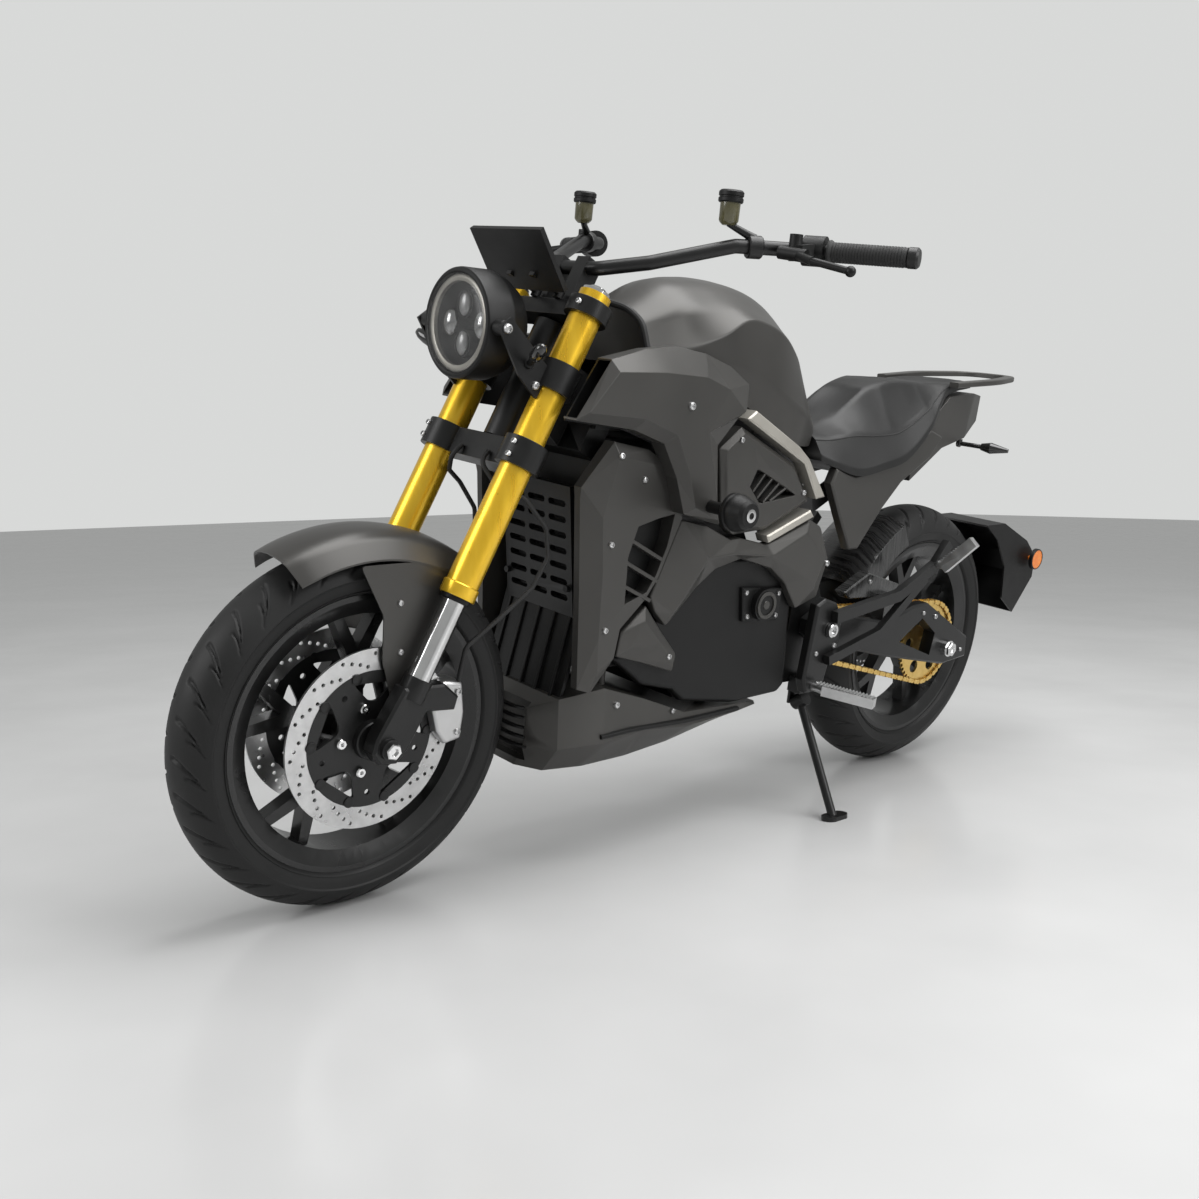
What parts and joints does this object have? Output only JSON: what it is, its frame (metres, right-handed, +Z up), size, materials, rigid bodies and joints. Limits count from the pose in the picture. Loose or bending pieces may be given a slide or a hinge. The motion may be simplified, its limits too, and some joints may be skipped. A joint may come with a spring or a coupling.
{
  "type": "electric naked motorcycle",
  "caption": "Electric naked motorcycle leaning on its side stand, with gold upside-down fork, round headlight, angular side panels, chain drive and stepped seat.",
  "frame": {"origin": "on the floor under the middle of the bounding box", "axes": "+Z up, the machine faces -Y, its rider's left is +X; it leans 8.9 degrees towards +X"},
  "size_m": [0.8876, 2.2918, 1.2241],
  "materials": {
    "tyre_rubber": "black road tyre",
    "wheel_black": "satin black cast wheel",
    "disc_steel": "drilled brake disc",
    "caliper_silver": "silver caliper",
    "gold_anodised": "gold anodised tube",
    "polished_steel": "polished slider",
    "gold_chain": "gold chain and sprocket",
    "black_metal": "black powder coat",
    "peg_silver": "serrated silver peg",
    "graphite_panel": "satin graphite panel",
    "black_plastic": "matt black moulding",
    "pale_strip": "pale satin strip",
    "seat_cover": "black seat cover",
    "carbon_weave": "carbon weave guard",
    "grip_rubber": "black grip rubber",
    "lens_clear": "clear lamp lens",
    "lens_smoked": "smoked lens",
    "lens_red": "dark red lens",
    "reflector_amber": "amber reflector",
    "reservoir_olive": "translucent olive pot"
  },
  "bodies": {
    "front_wheel": {"front_tyre": "tyre_rubber", "front_rim": "wheel_black", "front_discs": "disc_steel"},
    "rear_wheel": {"rear_tyre": "tyre_rubber", "rear_rim": "wheel_black", "rear_disc": "disc_steel", "rear_sprocket": "gold_chain"},
    "steering": {"fork_tubes": "gold_anodised", "fork_sliders": "polished_steel", "fork_feet": "black_metal", "triple_clamps": "black_metal", "lamp_brackets": "black_metal", "headlight_shell": "black_plastic", "headlight_lens": "lens_clear", "display": "black_plastic", "handlebar": "black_metal", "grips": "grip_rubber", "bar_controls": "black_plastic", "reservoirs": "reservoir_olive", "front_indicators": "lens_smoked", "front_fender": "graphite_panel", "calipers": "caliper_silver", "brake_hoses": "grip_rubber"},
    "side_stand": {"side_stand": "black_metal"},
    "chassis": {"main_frame": "black_metal", "battery_case": "black_metal", "motor": "black_metal", "pivot_brackets": "black_metal", "tank_cover": "graphite_panel", "air_scoops": "graphite_panel", "side_shields": "graphite_panel", "vent_panels": "graphite_panel", "frame_rails": "pale_strip", "cross_covers": "graphite_panel", "battery_covers": "black_plastic", "charge_port": "black_plastic", "grille_plate": "black_metal", "belly_pan": "graphite_panel", "frame_sliders": "black_plastic", "seat": "seat_cover", "tail_cowl": "graphite_panel", "subframe": "black_metal", "grab_rail": "graphite_panel", "tail_light": "lens_red", "rear_indicators": "lens_smoked", "rear_shock": "black_metal", "carbon_guards": "carbon_weave", "plate_carrier": "black_plastic", "rear_reflector": "reflector_amber", "peg_brackets": "black_metal", "foot_pegs": "peg_silver", "rear_caliper": "caliper_silver", "rear_axle": "polished_steel", "swingarm": "black_metal", "chain": "gold_chain", "stand_lug": "black_metal"}
  },
  "joints": [
    {"name": "steering", "type": "hinge", "parent": "chassis", "child": "steering", "pos_m": [-0.04603, -0.55427, 0.81647], "axis": [0.1394, 0.4337, 0.8902], "range_deg": [-30, 30]},
    {"name": "front_spin", "type": "hinge", "parent": "steering", "child": "front_wheel", "pos_m": [-0.12733, -0.846, 0.29733], "axis": [0.988, 0, -0.1547], "continuous": true},
    {"name": "rear_spin", "type": "hinge", "parent": "chassis", "child": "rear_wheel", "pos_m": [-0.12547, 0.654, 0.30918], "axis": [0.988, 0, -0.1547], "continuous": true},
    {"name": "stand_fold", "type": "hinge", "parent": "chassis", "child": "side_stand", "pos_m": [0.00523, 0.144, 0.22596], "axis": [0.9005, 0, 0.435], "range_deg": [0, 95]}
  ]
}
